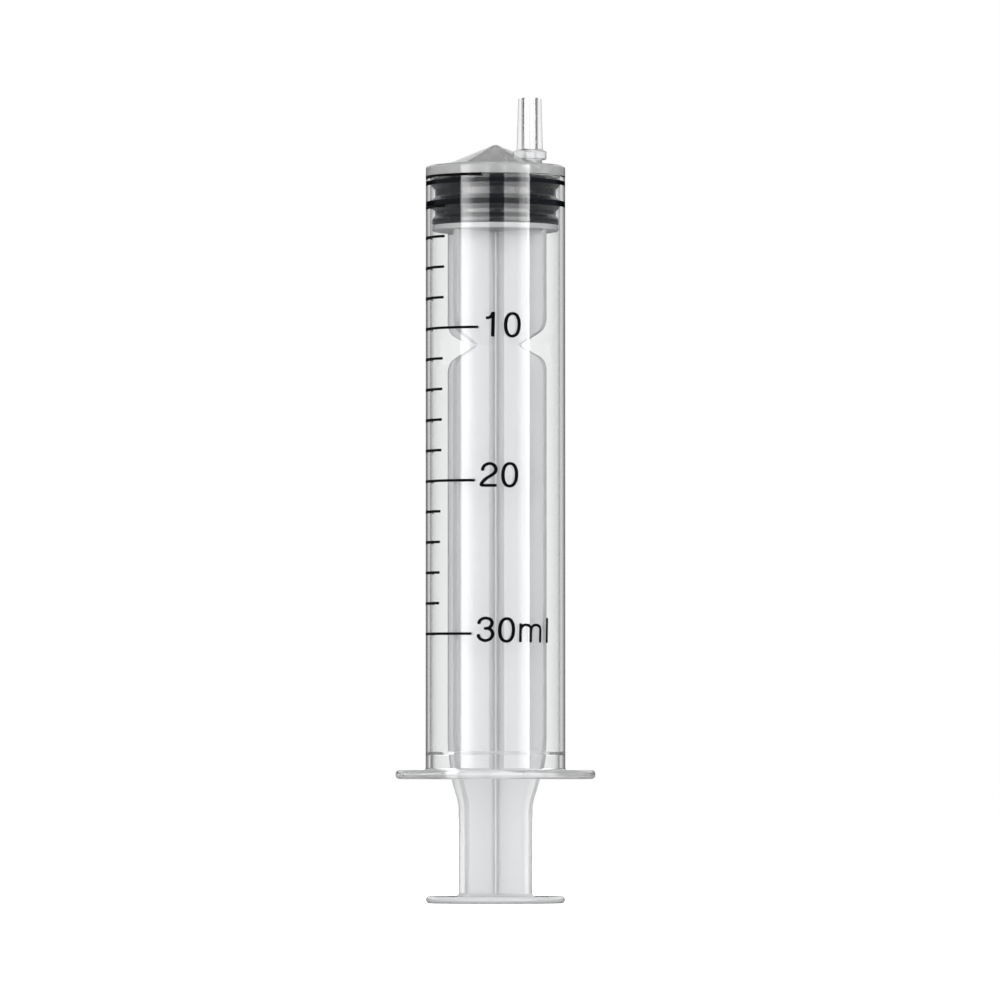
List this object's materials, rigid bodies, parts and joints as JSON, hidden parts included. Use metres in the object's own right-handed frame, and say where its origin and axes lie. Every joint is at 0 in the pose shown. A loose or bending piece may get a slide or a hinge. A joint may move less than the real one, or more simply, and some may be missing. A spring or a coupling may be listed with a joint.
{
  "type": "plastic syringe",
  "caption": "Clear disposable syringe with an off-centre slip nozzle, printed volume scale, finger flange, black rubber piston and cross-bladed plunger rod.",
  "frame": {"origin": "centre of the thumb disc's lower face, on which the syringe stands", "axes": "+Z along the barrel's axis towards the nozzle, +X along the finger flange's wings towards the off-centre nozzle, printed scale facing -Y"},
  "size_m": [0.034, 0.0252, 0.1375],
  "materials": {
    "barrel": "clear polished moulded polypropylene",
    "piston": "black satin rubber with a thin film of silicone oil",
    "plunger_rod": "milky translucent moulded polypropylene"
  },
  "bodies": {
    "plunger": {"plunger_rod": "plunger_rod"},
    "piston": {"piston": "piston"},
    "barrel": {"barrel": "barrel"}
  },
  "joints": [
    {"name": "rod_turn", "type": "hinge", "parent": "plunger", "child": "piston", "pos_m": [0, 0, 0.1184], "axis": [0, 0, 1], "continuous": true},
    {"name": "plunger_stroke", "type": "slide", "parent": "piston", "child": "barrel", "axis": [0, 0, 1], "range_m": [0, 0.0892]}
  ]
}
